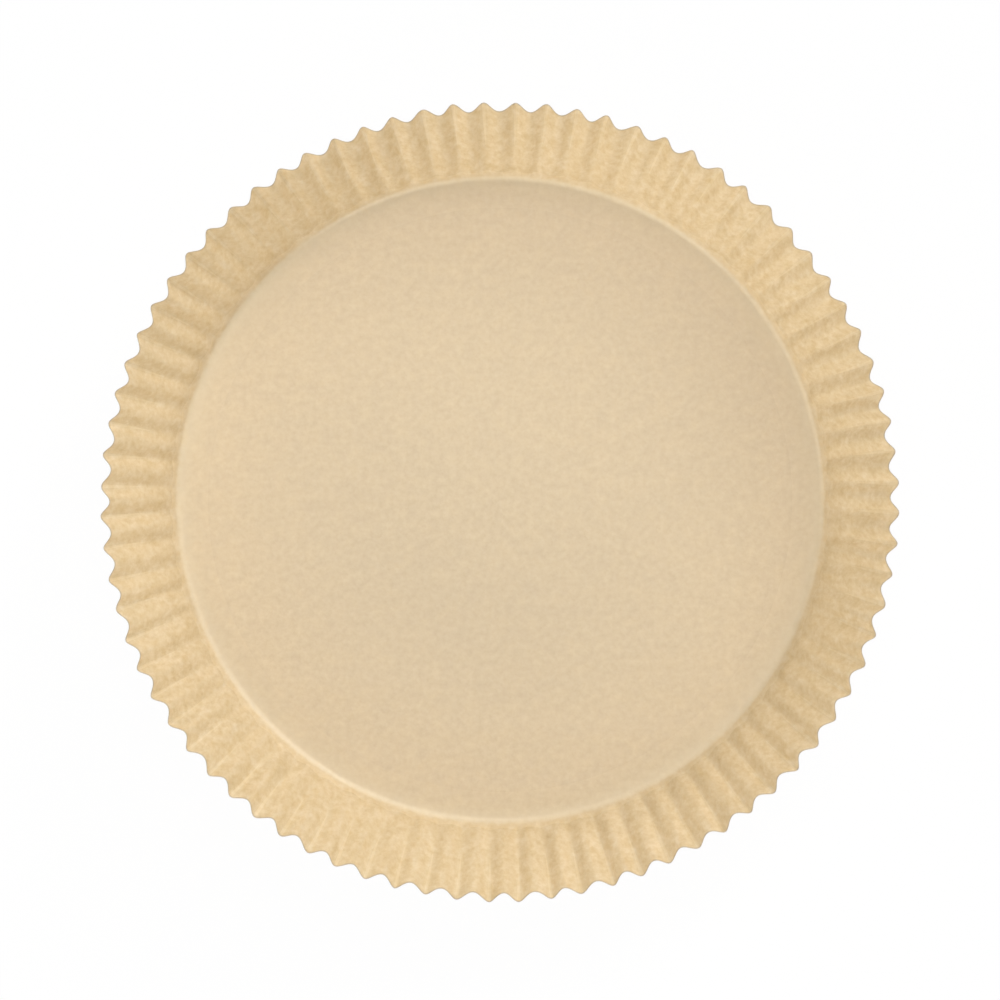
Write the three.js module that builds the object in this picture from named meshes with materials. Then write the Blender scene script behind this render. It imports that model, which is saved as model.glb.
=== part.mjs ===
// Paper liner for a round basket. One disc of thin greaseproof paper is pressed into a shallow
// cup: a flat round floor, a small crease that turns up all round it, and a straight flared wall.
// The wall has more paper round it than its own circle needs, and the spare is gathered into
// radial flutes, which deepen from nothing at the crease to their full depth at the cut rim.
// Millimetres, +Z up. The origin is at the middle of the underside of the floor.

import * as THREE from "three";

// Sizes of the cup
const RIM_DIAMETER = 200; // over the crests of the flutes
const FLOOR_DIAMETER = 164; // where the planes of the floor and the wall would meet
const WALL_HEIGHT = 40; // from the table to the rim, halfway between crest and valley
const CREASE_RADIUS = 2; // bend between the floor and the wall
const PAPER_THICKNESS = 0.06;

// Sizes of the flutes
const FLUTE_COUNT = 80;
const FLUTE_DEPTH = 2.3; // from valley to crest, seen from above at the rim
const CREST_TIGHTNESS = 0.17; // 0 is an even wave; more gives tight crests and round valleys

// How finely the paper is divided
const COLUMNS_PER_FLUTE = 6;
const CREASE_STEPS = 2;
const WALL_STEPS = 2;

// Colour and finish of unbleached greaseproof paper
const PAPER_COLOUR = 0xe2c9a0;
const PAPER_ROUGHNESS = 0.7;

const columnCount = FLUTE_COUNT * COLUMNS_PER_FLUTE;

// The cup's profile, along the middle of the paper's thickness
const halfThickness = PAPER_THICKNESS / 2;
const floorRadius = FLOOR_DIAMETER / 2;
const rimRadius = (RIM_DIAMETER - FLUTE_DEPTH - PAPER_THICKNESS) / 2;
const wallSlope = Math.atan2(WALL_HEIGHT - halfThickness, rimRadius - floorRadius);
const flatRadius = floorRadius - CREASE_RADIUS * Math.tan(wallSlope / 2);

// Rings of the profile from the edge of the flat floor, round the crease and up the wall. Each
// has its radius, its height, and the share of the full flute depth that is reached there.
function profileRings() {
  const rings = [];
  for (let step = 0; step <= CREASE_STEPS; step += 1) {
    const turn = (wallSlope * step) / CREASE_STEPS;
    rings.push({
      radius: flatRadius + CREASE_RADIUS * Math.sin(turn),
      height: halfThickness + CREASE_RADIUS * (1 - Math.cos(turn)),
      grown: 0,
    });
  }
  const wallFoot = rings.at(-1);
  for (let step = 1; step <= WALL_STEPS; step += 1) {
    // The spare paper grows evenly up the wall, and the depth of the flutes as its square root.
    const grown = step / WALL_STEPS;
    const share = grown ** 2;
    rings.push({
      radius: THREE.MathUtils.lerp(wallFoot.radius, rimRadius, share),
      height: THREE.MathUtils.lerp(wallFoot.height, WALL_HEIGHT, share),
      grown,
    });
  }
  return rings;
}

// One point on the middle of the paper. A valley lies on the +X axis, and a flute moves the paper
// square to the wall, so its crests reach out and a little down.
function sheetPoint(ring, column) {
  const phase = (column / COLUMNS_PER_FLUTE) * 2 * Math.PI;
  const angle = (phase + CREST_TIGHTNESS * Math.sin(phase)) / FLUTE_COUNT;
  const outward = (-Math.cos(phase) * ring.grown * FLUTE_DEPTH) / 2;
  const radius = ring.radius + outward;
  const height = ring.height - outward / Math.tan(wallSlope);
  return new THREE.Vector3(radius * Math.cos(angle), radius * Math.sin(angle), height);
}

// The sheet without thickness: the middle of the floor, then ring after ring of points. Its faces
// look up on the floor and inwards on the wall.
function sheetGeometry(rings) {
  const points = [new THREE.Vector3(0, 0, halfThickness)];
  for (const ring of rings) {
    for (let column = 0; column < columnCount; column += 1) {
      points.push(sheetPoint(ring, column));
    }
  }
  const faces = [];
  for (let column = 0; column < columnCount; column += 1) {
    const next = (column + 1) % columnCount;
    faces.push(0, 1 + column, 1 + next);
    for (let row = 1; row < rings.length; row += 1) {
      const outer = 1 + row * columnCount;
      const inner = outer - columnCount;
      faces.push(inner + column, outer + column, outer + next);
      faces.push(inner + column, outer + next, inner + next);
    }
  }
  const sheet = new THREE.BufferGeometry().setFromPoints(points);
  sheet.setIndex(faces);
  sheet.computeVertexNormals();
  // The floor is flat right up to its edge.
  for (let point = 0; point <= columnCount; point += 1) {
    sheet.attributes.normal.setXYZ(point, 0, 0, 1);
  }
  return sheet;
}

// The closed solid: the sheet's inside skin, its outside skin, and the cut edge round the rim.
function paperGeometry() {
  const rings = profileRings();
  const sheet = sheetGeometry(rings);
  const pointCount = sheet.attributes.position.count;
  const skins = [halfThickness, -halfThickness].map((offset) =>
    Array.from({ length: pointCount }, (_, point) => {
      const normal = new THREE.Vector3().fromBufferAttribute(sheet.attributes.normal, point);
      const middle = new THREE.Vector3().fromBufferAttribute(sheet.attributes.position, point);
      return middle.addScaledVector(normal, offset);
    }),
  );
  const inside = Array.from(sheet.index.array);
  const faces = [...inside];
  for (let corner = 0; corner < inside.length; corner += 3) {
    const [a, b, c] = inside.slice(corner, corner + 3).map((point) => point + pointCount);
    faces.push(a, c, b);
  }
  const rimStart = pointCount - columnCount;
  for (let column = 0; column < columnCount; column += 1) {
    const here = rimStart + column;
    const next = rimStart + ((column + 1) % columnCount);
    faces.push(here, here + pointCount, next + pointCount);
    faces.push(here, next + pointCount, next);
  }
  const solid = new THREE.BufferGeometry().setFromPoints(skins.flat());
  solid.setIndex(faces);
  solid.computeVertexNormals();
  return solid;
}

const paper = new THREE.MeshStandardMaterial({
  color: PAPER_COLOUR,
  roughness: PAPER_ROUGHNESS,
  metalness: 0,
});

const liner = new THREE.Mesh(paperGeometry(), paper);
liner.name = "paper_liner";

const part = new THREE.Group();
part.add(liner);

export default part;
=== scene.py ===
import math

import bpy
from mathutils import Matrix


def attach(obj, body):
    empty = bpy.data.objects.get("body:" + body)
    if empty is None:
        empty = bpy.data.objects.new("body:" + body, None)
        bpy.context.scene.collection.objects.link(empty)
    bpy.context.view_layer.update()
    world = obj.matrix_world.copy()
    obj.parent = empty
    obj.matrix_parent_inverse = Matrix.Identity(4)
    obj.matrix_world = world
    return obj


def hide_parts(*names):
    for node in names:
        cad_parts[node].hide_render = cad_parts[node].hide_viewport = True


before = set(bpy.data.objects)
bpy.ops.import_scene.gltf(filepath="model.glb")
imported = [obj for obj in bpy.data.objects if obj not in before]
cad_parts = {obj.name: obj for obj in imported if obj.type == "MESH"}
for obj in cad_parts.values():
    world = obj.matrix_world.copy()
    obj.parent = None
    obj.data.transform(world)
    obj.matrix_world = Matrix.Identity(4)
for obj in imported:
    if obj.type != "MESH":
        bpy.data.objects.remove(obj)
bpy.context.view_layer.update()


# The liner
# One disc of unbleached greaseproof paper, pressed hot between fluted rings and laid loose on the
# table. The floor stays flat, a small crease turns up all round it, and the wall's spare paper is
# gathered into flutes, which are deepest at the cut rim. No two flutes are quite alike.

NODE = "paper_liner"
MM = 0.001

# Sizes of the cup and of its flutes
PAPER_THICKNESS = 0.06 * MM
RIM_RADIUS = 100 * MM  # over the crests
FLOOR_RADIUS = 82 * MM  # where the planes of the floor and the wall would meet
WALL_HEIGHT = 40 * MM
CREASE_RADIUS = 2 * MM
FLUTE_COUNT = 80
FLUTE_DEPTH = 2.3 * MM
CREST_TIGHTNESS = 0.17  # 0 is an even wave; more gives tight crests and round valleys

SHEET_SIZES = {
    "Rim Radius": RIM_RADIUS,
    "Floor Radius": FLOOR_RADIUS,
    "Wall Height": WALL_HEIGHT,
    "Crease Radius": CREASE_RADIUS,
    "Paper Thickness": PAPER_THICKNESS,
    "Flute Count": float(FLUTE_COUNT),
    "Flute Depth": FLUTE_DEPTH,
    "Crest Tightness": CREST_TIGHTNESS,
    "Flute Growth": 0.5,  # the depth grows as this power of the way up the wall
    "Turn": math.radians(0.3),  # of the whole liner on the table
    "Spacing Drift": math.radians(0.49),  # the most that the flutes stand off their even places
    "Drift Azimuth": math.radians(-32),  # where they do
    "Spacing Wander": 0.015,  # in radians, on top of that and from flute to flute
    "Depth Wander": 0.7,  # as a share of the depth
    "Rim Waviness": 2.0 * MM,
    "Floor Ripple": 0.5 * MM,
    # The crest mark is paler paint: partly whitened folds and partly painted highlights along the
    # crests
    "Crest Mark": 0.08,  # how strongly the crests are marked, as the crease is below
}

# How the sheet is divided: columns of points round it, and rows from its middle to the rim
COLUMNS_PER_FLUTE = 14
FLOOR_ROWS = 9
FLOOR_ROW_SPREAD = 1.6  # above 1, the rows lie closer together towards the edge of the floor
CREASE_ROWS = 5
WALL_ROWS = 25
JOIN_DISTANCE = 0.001 * MM  # points nearer than this become one
SHARP_ANGLE = math.radians(60)  # the cut edge is sharper than this, and no flute is

# The noise behind the differences. The flutes read it on a circle that gives each about one cell.
NOISE_MIDDLE = 0.5
FLUTE_NOISE_RADIUS = 13.0
WAVINESS_SCALE = 1.3
RIPPLE_SIZE = 60 * MM
RIPPLE_FADE_START = 0.7  # as a share of the floor
WANDER_SEED = 4.0
DEPTH_SEED = 11.0
WAVINESS_SEED = 23.0
RIPPLE_SEED = 37.0

# How strongly the crease is painted paler on the way from the floor to the wall: from 0 for plain
# paper to 1 for the crease colour. The pale mark is partly the whitened fold and partly painted
# sheen on the bend, where the tilted paper loses the floor's own sheen.
MARK_START = 0.95  # as a share of the floor
MARK_AT_BEND = 0.45
MARK_RISE = 0.07  # added between the start of the bend and the next point
MARK_RISE_END = 0.3  # as a share of the bend
MARK_FALL = 0.34  # taken off between the next point and the end of the bend
MARK_FALL_START = 0.5  # as a share of the bend
MARK_REST = 0.18  # taken off between the foot of the wall and the next point
MARK_END = 0.06  # as a share of the wall
CREST_START = -0.85  # of a wave that is 1 in the valleys and -1 on the crests


def add(tree, kind, feeds=None, out=0, **settings):
    """Add a node of a kind, give it its settings, feed its inputs, and return one output."""
    node = tree.nodes.new(kind)
    for name, value in settings.items():
        setattr(node, name, value)
    for socket, value in (feeds or {}).items():
        if isinstance(value, bpy.types.NodeSocket):
            tree.links.new(value, node.inputs[socket])
        else:
            node.inputs[socket].default_value = value
    return node.outputs[out] if node.outputs else node


def pressed_sheet_tree(material):
    """The rule of the pressed sheet: a flat grid of rows and columns, rolled into a fluted cup."""
    tree = bpy.data.node_groups.new("pressed_sheet", "GeometryNodeTree")
    for name, value in SHEET_SIZES.items():
        socket = tree.interface.new_socket(name, in_out="INPUT", socket_type="NodeSocketFloat")
        socket.default_value = value
    tree.interface.new_socket("Geometry", in_out="OUTPUT", socket_type="NodeSocketGeometry")
    given = tree.nodes.new("NodeGroupInput").outputs

    # The grid is 1 wide, and both shares run from -0.5 to 0.5 across it: its columns once round
    # the sheet, and its rows from the middle of the sheet to the rim.
    columns = FLUTE_COUNT * COLUMNS_PER_FLUTE
    rows = FLOOR_ROWS + CREASE_ROWS + WALL_ROWS
    middle, rim = -0.5, 0.5
    floor_end = FLOOR_ROWS / rows + middle
    crease_end = (FLOOR_ROWS + CREASE_ROWS) / rows + middle
    grid = add(tree, "GeometryNodeMeshGrid",
               {"Size X": 1.0, "Size Y": 1.0, "Vertices X": columns + 1, "Vertices Y": rows + 1})
    place = add(tree, "GeometryNodeInputPosition")
    across = tree.nodes.new("ShaderNodeSeparateXYZ")
    tree.links.new(place, across.inputs[0])
    turn_share, row_share = across.outputs["X"], across.outputs["Y"]

    # Round the sheet: the plain angle, and the phase of the flutes with a valley at zero.
    plain_angle = add(tree, "ShaderNodeMath", {0: turn_share, 1: 2 * math.pi},
                      operation="MULTIPLY")
    phase = add(tree, "ShaderNodeMath", {0: plain_angle, 1: given["Flute Count"]},
                operation="MULTIPLY")
    cosine = add(tree, "ShaderNodeMath", {0: plain_angle}, operation="COSINE")
    sine = add(tree, "ShaderNodeMath", {0: plain_angle}, operation="SINE")

    # Out along the sheet: across the flat floor, round the crease, then up the wall.
    run = add(tree, "ShaderNodeMath", {0: given["Rim Radius"], 1: given["Floor Radius"]},
              operation="SUBTRACT")
    half_depth = add(tree, "ShaderNodeMath", {0: given["Flute Depth"], 1: 0.5},
                     operation="MULTIPLY")
    run = add(tree, "ShaderNodeMath", {0: run, 1: half_depth}, operation="SUBTRACT")
    slope = add(tree, "ShaderNodeMath", {0: given["Wall Height"], 1: run}, operation="ARCTAN2")
    half_slope = add(tree, "ShaderNodeMath", {0: slope, 1: 0.5}, operation="MULTIPLY")
    setback = add(tree, "ShaderNodeMath", {0: half_slope}, operation="TANGENT")
    setback = add(tree, "ShaderNodeMath", {0: setback, 1: given["Crease Radius"]},
                  operation="MULTIPLY")
    flat_radius = add(tree, "ShaderNodeMath", {0: given["Floor Radius"], 1: setback},
                      operation="SUBTRACT")
    inwards = add(tree, "ShaderNodeMapRange",
                  {"Value": row_share, "From Min": floor_end, "From Max": middle})
    inwards = add(tree, "ShaderNodeMath", {0: inwards, 1: FLOOR_ROW_SPREAD}, operation="POWER")
    floor_share = add(tree, "ShaderNodeMath", {0: 1.0, 1: inwards}, operation="SUBTRACT")
    bend_share = add(tree, "ShaderNodeMapRange",
                     {"Value": row_share, "From Min": floor_end, "From Max": crease_end})
    turned = add(tree, "ShaderNodeMath", {0: bend_share, 1: slope}, operation="MULTIPLY")
    wall_share = add(tree, "ShaderNodeMapRange",
                     {"Value": row_share, "From Min": crease_end, "From Max": rim})
    turned_sine = add(tree, "ShaderNodeMath", {0: turned}, operation="SINE")
    turned_cosine = add(tree, "ShaderNodeMath", {0: turned}, operation="COSINE")
    slope_sine = add(tree, "ShaderNodeMath", {0: slope}, operation="SINE")
    slope_cosine = add(tree, "ShaderNodeMath", {0: slope}, operation="COSINE")

    # The wall starts where the crease ends, one setback along the wall from the foot line.
    start_run = add(tree, "ShaderNodeMath", {0: setback, 1: slope_cosine}, operation="MULTIPLY")
    start_rise = add(tree, "ShaderNodeMath", {0: setback, 1: slope_sine}, operation="MULTIPLY")
    wall_run = add(tree, "ShaderNodeMath", {0: run, 1: start_run}, operation="SUBTRACT")
    wall_rise = add(tree, "ShaderNodeMath", {0: given["Wall Height"], 1: start_rise},
                    operation="SUBTRACT")

    radius = add(tree, "ShaderNodeMath", {0: flat_radius, 1: floor_share}, operation="MULTIPLY")
    radius = add(tree, "ShaderNodeMath", {0: turned_sine, 1: given["Crease Radius"], 2: radius},
                 operation="MULTIPLY_ADD")
    radius = add(tree, "ShaderNodeMath", {0: wall_share, 1: wall_run, 2: radius},
                 operation="MULTIPLY_ADD")
    lift = add(tree, "ShaderNodeMath", {0: 1.0, 1: turned_cosine}, operation="SUBTRACT")
    height = add(tree, "ShaderNodeMath", {0: given["Paper Thickness"], 1: 0.5},
                 operation="MULTIPLY")
    height = add(tree, "ShaderNodeMath", {0: lift, 1: given["Crease Radius"], 2: height},
                 operation="MULTIPLY_ADD")
    height = add(tree, "ShaderNodeMath", {0: wall_share, 1: wall_rise, 2: height},
                 operation="MULTIPLY_ADD")

    # What differs from flute to flute: noise read on a circle, so that it closes on itself.
    circle = add(tree, "ShaderNodeCombineXYZ", {0: cosine, 1: sine, 2: 0.0})
    flute_place = add(tree, "ShaderNodeVectorMath", {0: circle, "Scale": FLUTE_NOISE_RADIUS},
                      operation="SCALE")
    rise_place = add(tree, "ShaderNodeCombineXYZ", {0: 0.0, 1: 0.0, 2: wall_share})
    flute_place = add(tree, "ShaderNodeVectorMath", {0: flute_place, 1: rise_place},
                      operation="ADD")
    wander = add(tree, "ShaderNodeTexNoise",
                 {"Vector": flute_place, "W": WANDER_SEED, "Scale": 1.0, "Detail": 1.0},
                 noise_dimensions="4D")
    wander = add(tree, "ShaderNodeMath", {0: wander, 1: NOISE_MIDDLE}, operation="SUBTRACT")
    deeper = add(tree, "ShaderNodeTexNoise",
                 {"Vector": flute_place, "W": DEPTH_SEED, "Scale": 1.0, "Detail": 1.0},
                 noise_dimensions="4D")
    deeper = add(tree, "ShaderNodeMath", {0: deeper, 1: NOISE_MIDDLE}, operation="SUBTRACT")
    deeper = add(tree, "ShaderNodeMath", {0: deeper, 1: given["Depth Wander"], 2: 1.0},
                 operation="MULTIPLY_ADD")
    waviness = add(tree, "ShaderNodeTexNoise",
                   {"Vector": circle, "W": WAVINESS_SEED, "Scale": WAVINESS_SCALE, "Detail": 2.0},
                   noise_dimensions="4D")
    waviness = add(tree, "ShaderNodeMath", {0: waviness, 1: NOISE_MIDDLE}, operation="SUBTRACT")
    waviness = add(tree, "ShaderNodeMath", {0: waviness, 1: given["Rim Waviness"]},
                   operation="MULTIPLY")

    # The flutes: tight crests reach out, round valleys reach in, square to the wall.
    grown = add(tree, "ShaderNodeMath", {0: wall_share, 1: given["Flute Growth"]},
                operation="POWER")
    skew = add(tree, "ShaderNodeMath", {0: phase}, operation="SINE")
    skew = add(tree, "ShaderNodeMath", {0: skew, 1: given["Crest Tightness"]},
               operation="MULTIPLY")
    skew = add(tree, "ShaderNodeMath", {0: skew, 1: given["Flute Count"]}, operation="DIVIDE")
    angle = add(tree, "ShaderNodeMath", {0: plain_angle, 1: skew}, operation="ADD")
    angle = add(tree, "ShaderNodeMath", {0: wander, 1: given["Spacing Wander"], 2: angle},
                operation="MULTIPLY_ADD")
    drift = add(tree, "ShaderNodeMath", {0: plain_angle, 1: given["Drift Azimuth"]},
                operation="SUBTRACT")
    drift = add(tree, "ShaderNodeMath", {0: drift}, operation="COSINE")
    drift = add(tree, "ShaderNodeMath", {0: drift, 1: given["Spacing Drift"], 2: given["Turn"]},
                operation="MULTIPLY_ADD")
    angle = add(tree, "ShaderNodeMath", {0: angle, 1: drift}, operation="ADD")
    wave = add(tree, "ShaderNodeMath", {0: phase}, operation="COSINE")
    fold = add(tree, "ShaderNodeMath", {0: wave, 1: grown}, operation="MULTIPLY")
    outward = add(tree, "ShaderNodeMath", {0: fold, 1: half_depth}, operation="MULTIPLY")
    outward = add(tree, "ShaderNodeMath", {0: outward, 1: deeper}, operation="MULTIPLY")
    radius = add(tree, "ShaderNodeMath", {0: radius, 1: outward}, operation="SUBTRACT")
    radius = add(tree, "ShaderNodeMath", {0: waviness, 1: wall_share, 2: radius},
                 operation="MULTIPLY_ADD")
    dip = add(tree, "ShaderNodeMath", {0: slope_cosine, 1: slope_sine}, operation="DIVIDE")
    height = add(tree, "ShaderNodeMath", {0: outward, 1: dip, 2: height},
                 operation="MULTIPLY_ADD")

    # The floor lies flat but for slow ripples, which fade out before its edge.
    x = add(tree, "ShaderNodeMath", {0: angle}, operation="COSINE")
    x = add(tree, "ShaderNodeMath", {0: x, 1: radius}, operation="MULTIPLY")
    y = add(tree, "ShaderNodeMath", {0: angle}, operation="SINE")
    y = add(tree, "ShaderNodeMath", {0: y, 1: radius}, operation="MULTIPLY")
    spot = add(tree, "ShaderNodeCombineXYZ", {0: x, 1: y, 2: 0.0})
    ripple = add(tree, "ShaderNodeTexNoise",
                 {"Vector": spot, "W": RIPPLE_SEED, "Scale": 1 / RIPPLE_SIZE, "Detail": 2.0},
                 noise_dimensions="4D")
    inside = add(tree, "ShaderNodeMapRange",
                 {"Value": floor_share, "From Min": 1.0, "From Max": RIPPLE_FADE_START},
                 interpolation_type="SMOOTHSTEP")
    ripple = add(tree, "ShaderNodeMath", {0: ripple, 1: inside}, operation="MULTIPLY")
    height = add(tree, "ShaderNodeMath", {0: ripple, 1: given["Floor Ripple"], 2: height},
                 operation="MULTIPLY_ADD")

    # The crease: its mark starts on the floor's edge, is strongest in the bend, and fades out on
    # the foot of the wall. The mark is partly the whitened fold and partly painted sheen.
    mark = add(tree, "ShaderNodeMapRange",
               {"Value": floor_share, "From Min": MARK_START, "To Max": MARK_AT_BEND})
    rise = add(tree, "ShaderNodeMapRange",
               {"Value": bend_share, "From Max": MARK_RISE_END, "To Max": MARK_RISE})
    fall = add(tree, "ShaderNodeMapRange",
               {"Value": bend_share, "From Min": MARK_FALL_START, "To Max": MARK_FALL})
    rest = add(tree, "ShaderNodeMapRange",
               {"Value": wall_share, "From Max": MARK_END, "To Max": MARK_REST})
    mark = add(tree, "ShaderNodeMath", {0: mark, 1: rise}, operation="ADD")
    mark = add(tree, "ShaderNodeMath", {0: mark, 1: fall}, operation="SUBTRACT")
    mark = add(tree, "ShaderNodeMath", {0: mark, 1: rest}, operation="SUBTRACT")

    # The crests are painted a little paler in the same way: partly as the folds whitened hardest
    # and
    #     # partly as painted highlights along them.
    crest = add(tree, "ShaderNodeMapRange",
                {"Value": wave, "From Min": CREST_START, "From Max": -1.0})
    crest = add(tree, "ShaderNodeMath", {0: crest, 1: wall_share}, operation="MULTIPLY")
    mark = add(tree, "ShaderNodeMath", {0: crest, 1: given["Crest Mark"], 2: mark},
               operation="MULTIPLY_ADD")

    # The grid takes its shape. Its first and last columns are joined, and so are the points at the
    # middle of the floor.
    shape = add(tree, "ShaderNodeCombineXYZ", {0: x, 1: y, 2: height})
    sheet = add(tree, "GeometryNodeStoreNamedAttribute",
                {"Geometry": grid, "Name": "wall", "Value": wall_share})
    sheet = add(tree, "GeometryNodeStoreNamedAttribute",
                {"Geometry": sheet, "Name": "bend", "Value": bend_share})
    sheet = add(tree, "GeometryNodeStoreNamedAttribute",
                {"Geometry": sheet, "Name": "crease", "Value": mark})
    sheet = add(tree, "GeometryNodeSetPosition", {"Geometry": sheet, "Position": shape})
    sheet = add(tree, "GeometryNodeMergeByDistance",
                {"Geometry": sheet, "Distance": JOIN_DISTANCE})
    sheet = add(tree, "GeometryNodeSetShadeSmooth", {"Geometry": sheet})
    sheet = add(tree, "GeometryNodeRealizeInstances", {"Geometry": sheet})
    sheet = add(tree, "GeometryNodeSetMaterial", {"Geometry": sheet, "Material": material})
    add(tree, "NodeGroupOutput", {"Geometry": sheet})
    return tree


# Greaseproof paper of about 40 grams to the square metre: kraft pulp beaten long, pressed smooth
# and siliconed. Much light comes through it, so its fibre clouds show most in the wall. The hot
# plate leaves the floor smooth, with long faint waves. The floor's colours are paler than the
# wall's as a painted sheen, for part of the lamps' reflection on the flat floor. The crease is
# painted palest of all, partly as its whitened fold and partly as painted sheen on the bend.
WALL_LIGHT = 0xFFF5E2
WALL_DARK = 0xEDDDBB
# The floor's own colours: paler than the wall's as a painted sheen, for part of the lamps'
# reflection on the flat floor
FLOOR_LIGHT = 0xFDF4DF
FLOOR_DARK = 0xEFE3C8
# Paler paint for the crease, partly its whitened fold and partly painted sheen on the bend
CREASE_AND_SHEEN_COLOUR = 0xFEF7E7
EDGE_COLOUR = 0xDCD2C2
EDGE_WIDTH = 0.02  # as a share of the wall
THIN_THROUGH_SHARE = 0.72  # of the light, where the clouds are thin
THICK_THROUGH_SHARE = 0.64
CREASE_THROUGH_SHARE = 0.56
PAPER_ROUGHNESS = 0.26
CREASE_ROUGHNESS = 0.7
# Only the share of the light that doesn't go through meets this index, so it is above the 1.5 of
# the paper's size and silicone, which brings the surface's own sheen back to its full strength.
PAPER_IOR = 2.1

# The grain, with the height of each kind of relief in millimetres
DRAWN_UP = 0.4  # how much of its fineness the grain keeps up the wall, where it was drawn out
CLOUD_SIZE = 1.4 * MM
CLOUD_RELIEF = 0.02
BLOTCH_SIZE = 3.0 * MM
BLOTCH_SHARE = 0.3  # of the mottle, and the clouds are the rest
NOISE_LOW, NOISE_HIGH = 0.3, 0.7  # nearly all of the noise lies between these
CRINKLE_SIZE = 1.2 * MM
CRINKLE_RELIEF = 0.17
WAVE_LENGTH = 60 * MM
WAVE_WIDTH = 7 * MM
WAVE_TURN = math.radians(12)
WAVE_RELIEF = 0.15


def linear(colour):
    """A colour written as sRGB hex, as linear red, green, blue and alpha."""
    channels = [(colour >> shift & 255) / 255 for shift in (16, 8, 0)]
    return [c / 12.92 if c <= 0.04045 else ((c + 0.055) / 1.055) ** 2.4 for c in channels] + [1.0]


def greaseproof_paper():
    """Mottled paper that lets light through, painted paler on its crease and crests, partly as
    whitened folds and partly as painted sheen and highlights, and greyer on its cut edge.
    """
    material = bpy.data.materials.new("greaseproof_paper")
    material.use_nodes = True
    tree = material.node_tree
    tree.nodes.clear()
    place = add(tree, "ShaderNodeTexCoord", out="Object")
    off_floor = add(tree, "ShaderNodeAttribute", out="Fac", attribute_name="bend")
    up_wall = add(tree, "ShaderNodeAttribute", out="Fac", attribute_name="wall")
    crease = add(tree, "ShaderNodeAttribute", out="Fac", attribute_name="crease")
    grain = add(tree, "ShaderNodeMapping", {"Vector": place, "Scale": (1, 1, DRAWN_UP)})
    clouds = add(tree, "ShaderNodeTexNoise",
                 {"Vector": grain, "Scale": 1 / CLOUD_SIZE, "Detail": 3.0, "Roughness": 0.65})
    blotches = add(tree, "ShaderNodeTexNoise",
                   {"Vector": grain, "Scale": 1 / BLOTCH_SIZE, "Detail": 3.0})
    crinkles = add(tree, "ShaderNodeTexNoise",
                   {"Vector": grain, "Scale": 1 / CRINKLE_SIZE, "Detail": 2.0, "Roughness": 0.6})
    along = add(tree, "ShaderNodeMapping",
                {"Vector": place, "Rotation": (0, 0, -WAVE_TURN),
                 "Scale": (1 / WAVE_LENGTH, 1 / WAVE_WIDTH, 1 / WAVE_WIDTH)})
    waves = add(tree, "ShaderNodeTexNoise", {"Vector": along, "Scale": 1.0, "Detail": 1.0})

    # Fine clouds and wider blotches, each from 0 to 1 and 0.5 on average
    cloud = add(tree, "ShaderNodeMapRange",
                {"Value": clouds, "From Min": NOISE_LOW, "From Max": NOISE_HIGH})
    blotch = add(tree, "ShaderNodeMapRange",
                 {"Value": blotches, "From Min": NOISE_LOW, "From Max": NOISE_HIGH})
    mottle = add(tree, "ShaderNodeMix", {0: BLOTCH_SHARE, 2: cloud, 3: blotch}, data_type="FLOAT")
    on_wall = add(tree, "ShaderNodeMix",
                  {0: mottle, 6: linear(WALL_DARK), 7: linear(WALL_LIGHT)}, out=2,
                  data_type="RGBA")
    on_floor = add(tree, "ShaderNodeMix",
                   {0: mottle, 6: linear(FLOOR_DARK), 7: linear(FLOOR_LIGHT)}, out=2,
                   data_type="RGBA")
    # The floor takes its paler colours, which are partly a painted sheen on the flat floor.
    colour = add(tree, "ShaderNodeMix", {0: off_floor, 6: on_floor, 7: on_wall}, out=2,
                 data_type="RGBA")
    # The crease and crests are painted paler: partly whitened folds, partly painted sheen on the
    # bend and painted highlights on the crests.
    colour = add(tree, "ShaderNodeMix", {0: crease, 6: colour, 7: linear(CREASE_AND_SHEEN_COLOUR)}, out=2,
                 data_type="RGBA")
    edge = add(tree, "ShaderNodeMapRange", {"Value": up_wall, "From Min": 1 - EDGE_WIDTH})
    colour = add(tree, "ShaderNodeMix", {0: edge, 6: colour, 7: linear(EDGE_COLOUR)}, out=2,
                 data_type="RGBA")

    # Relief in millimetres: the clouds everywhere, crinkles on the wall and waves on the floor
    crinkled = add(tree, "ShaderNodeMath", {0: crinkles, 1: CRINKLE_RELIEF}, operation="MULTIPLY")
    waved = add(tree, "ShaderNodeMath", {0: waves, 1: WAVE_RELIEF}, operation="MULTIPLY")
    relief = add(tree, "ShaderNodeMix", {0: off_floor, 2: waved, 3: crinkled}, data_type="FLOAT")
    relief = add(tree, "ShaderNodeMath", {0: clouds, 1: CLOUD_RELIEF, 2: relief},
                 operation="MULTIPLY_ADD")
    bump = add(tree, "ShaderNodeBump", {"Height": relief, "Strength": 1.0, "Distance": MM})

    # The surface reflects one share of the light, and the rest comes through and is scattered.
    roughness = add(tree, "ShaderNodeMix",
                    {0: crease, 2: PAPER_ROUGHNESS, 3: CREASE_ROUGHNESS}, data_type="FLOAT")
    face = add(tree, "ShaderNodeBsdfPrincipled",
               {"Base Color": colour, "Normal": bump, "Roughness": roughness, "IOR": PAPER_IOR})
    glow = add(tree, "ShaderNodeBsdfTranslucent", {"Color": colour, "Normal": bump})
    through = add(tree, "ShaderNodeMix",
                  {0: mottle, 2: THICK_THROUGH_SHARE, 3: THIN_THROUGH_SHARE}, data_type="FLOAT")
    through = add(tree, "ShaderNodeMix",
                  {0: crease, 2: through, 3: CREASE_THROUGH_SHARE}, data_type="FLOAT")
    paper = add(tree, "ShaderNodeMixShader", {0: through, 1: face, 2: glow})
    add(tree, "ShaderNodeOutputMaterial", {"Surface": paper})
    return material


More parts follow.
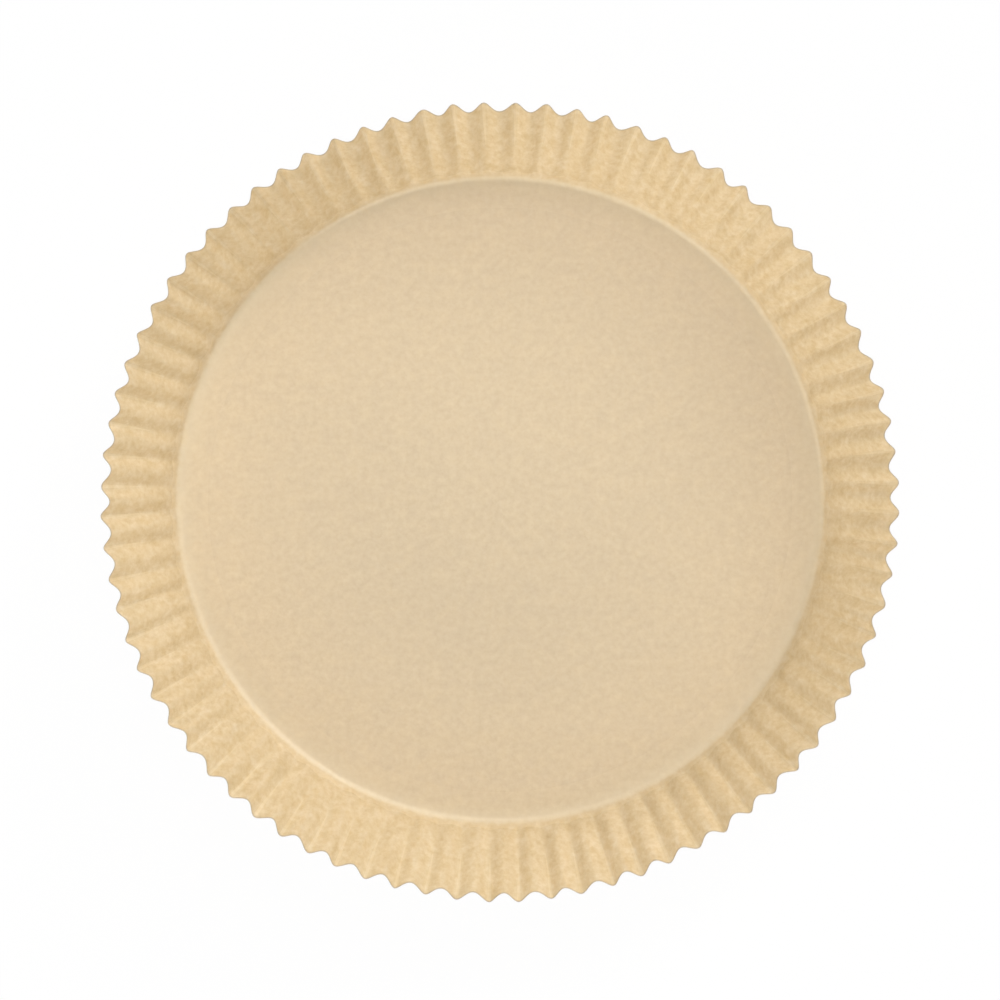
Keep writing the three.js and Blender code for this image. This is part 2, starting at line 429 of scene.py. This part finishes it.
# The sheet is shaped by the tree, thickened evenly to both sides, and kept as a plain mesh.
blank = bpy.data.meshes.new("paper_sheet")
sheet = bpy.data.objects.new("paper_sheet", blank)
bpy.context.scene.collection.objects.link(sheet)
pressing = sheet.modifiers.new("pressing", "NODES")
pressing.node_group = pressed_sheet_tree(greaseproof_paper())
for socket in pressing.node_group.interface.items_tree:
    if socket.in_out == "INPUT":
        pressing[socket.identifier] = SHEET_SIZES[socket.name]
thickness = sheet.modifiers.new("thickness", "SOLIDIFY")
thickness.thickness = PAPER_THICKNESS
thickness.offset = 0
thickness.use_even_offset = True
ready = sheet.evaluated_get(bpy.context.evaluated_depsgraph_get())
pressed = bpy.data.meshes.new_from_object(ready)
sheet.modifiers.clear()
sheet.data = pressed
pressed.set_sharp_from_angle(angle=SHARP_ANGLE)
bpy.data.meshes.remove(blank)

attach(sheet, "root")
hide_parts(NODE)


# The table
# A smooth white tabletop, wider than the view. The camera sees it nearly pure white, and it
# keeps a trace of the liner's soft shadow.

TABLE_SIZE = 6.0
TABLE_DROP = 0.05 * MM  # keeps the top clear of the underside of the liner
TABLE_COLOUR = 0xF4F4F4
TABLE_WHITE_SHARE = 0.97

tabletop = bpy.data.materials.new("white_table")
tabletop.use_nodes = True
tree = tabletop.node_tree
tree.nodes.clear()
matt = add(tree, "ShaderNodeBsdfDiffuse", {"Color": linear(TABLE_COLOUR)})
white = add(tree, "ShaderNodeEmission", {"Color": (1, 1, 1, 1), "Strength": 1.0})
seen = add(tree, "ShaderNodeLightPath", out="Is Camera Ray")
seen = add(tree, "ShaderNodeMath", {0: seen, 1: TABLE_WHITE_SHARE}, operation="MULTIPLY")
surface = add(tree, "ShaderNodeMixShader", {0: seen, 1: matt, 2: white})
add(tree, "ShaderNodeOutputMaterial", {"Surface": surface})

half = TABLE_SIZE / 2
table_mesh = bpy.data.meshes.new("table")
table_mesh.from_pydata(
    [(-half, -half, 0), (half, -half, 0), (half, half, 0), (-half, half, 0)], [], [(0, 1, 2, 3)])
table_mesh.materials.append(tabletop)
table = bpy.data.objects.new("table", table_mesh)
table.location.z = -TABLE_DROP
bpy.context.scene.collection.objects.link(table)


# The light
# A dim pale room with soft round lamps all about. The widest hangs overhead, and its sheen lies on
# the flat floor of the liner. The strongest stand one over the other at the upper right of the
# view, like a tall window, and the low ones opposite light the inside of the far wall.

ROOM_STRENGTH = 0.125
LAMPS = {  # in metres, watts and degrees
    "overhead": {"size": 1.3, "power": 18.0, "azimuth": 0, "elevation": 90, "distance": 3.0},
    "window_top": {"size": 0.8, "power": 9.6, "azimuth": 56, "elevation": 50, "distance": 2.5},
    "window_middle": {"size": 0.8, "power": 15.6, "azimuth": 56, "elevation": 35, "distance": 2.5},
    "window_foot": {"size": 0.8, "power": 9.4, "azimuth": 41, "elevation": 20, "distance": 2.5},
    "back": {"size": 0.8, "power": 13.9, "azimuth": 86, "elevation": 65, "distance": 2.5},
    "side": {"size": 0.8, "power": 7.1, "azimuth": 146, "elevation": 10, "distance": 2.5},
    "left": {"size": 0.8, "power": 8.3, "azimuth": 191, "elevation": 20, "distance": 2.5},
    "fill": {"size": 0.8, "power": 16.6, "azimuth": 236, "elevation": 20, "distance": 2.5},
    "front_top": {"size": 0.8, "power": 5.1, "azimuth": 266, "elevation": 50, "distance": 2.5},
    "front_foot": {"size": 0.8, "power": 13.0, "azimuth": 296, "elevation": 20, "distance": 2.5},
}

world = bpy.data.worlds.new("pale_room")
bpy.context.scene.world = world
world.use_nodes = True
tree = world.node_tree
tree.nodes.clear()
seen = add(tree, "ShaderNodeLightPath", out="Is Camera Ray")
strength = add(tree, "ShaderNodeMapRange", {"Value": seen, "To Min": ROOM_STRENGTH, "To Max": 1.0})
room = add(tree, "ShaderNodeBackground", {"Color": (1, 1, 1, 1), "Strength": strength})
add(tree, "ShaderNodeOutputWorld", {"Surface": room})

for name, lamp in LAMPS.items():
    light = bpy.data.lights.new(name, "AREA")
    light.shape = "DISK"
    light.size = lamp["size"]
    light.energy = lamp["power"]
    fixture = bpy.data.objects.new(name, light)
    azimuth, elevation = math.radians(lamp["azimuth"]), math.radians(lamp["elevation"])
    fixture.location = (lamp["distance"] * math.cos(elevation) * math.cos(azimuth),
                        lamp["distance"] * math.cos(elevation) * math.sin(azimuth),
                        lamp["distance"] * math.sin(elevation))
    fixture.rotation_euler = (math.pi / 2 - elevation, 0, azimuth + math.pi / 2)
    bpy.context.scene.collection.objects.link(fixture)


# The camera
# It looks straight down from well above, so that the wall shows its inside all round. It is tipped
# by under a degree, as the photograph's is.

CAMERA_DISTANCE = 2.5
CAMERA_TILT = math.radians(0.9)
SENSOR_WIDTH = 36.0
VIEW_WIDTH = 250 * MM  # at the height of the rim

camera_data = bpy.data.cameras.new("camera")
camera_data.sensor_width = SENSOR_WIDTH
camera_data.lens = SENSOR_WIDTH * (CAMERA_DISTANCE - WALL_HEIGHT) / VIEW_WIDTH
camera = bpy.data.objects.new("camera", camera_data)
camera.location = (0, CAMERA_DISTANCE * math.sin(CAMERA_TILT),
                   CAMERA_DISTANCE * math.cos(CAMERA_TILT))
camera.rotation_euler = (-CAMERA_TILT, 0, 0)
bpy.context.scene.collection.objects.link(camera)
bpy.context.scene.camera = camera
bpy.context.scene.view_settings.view_transform = "Standard"
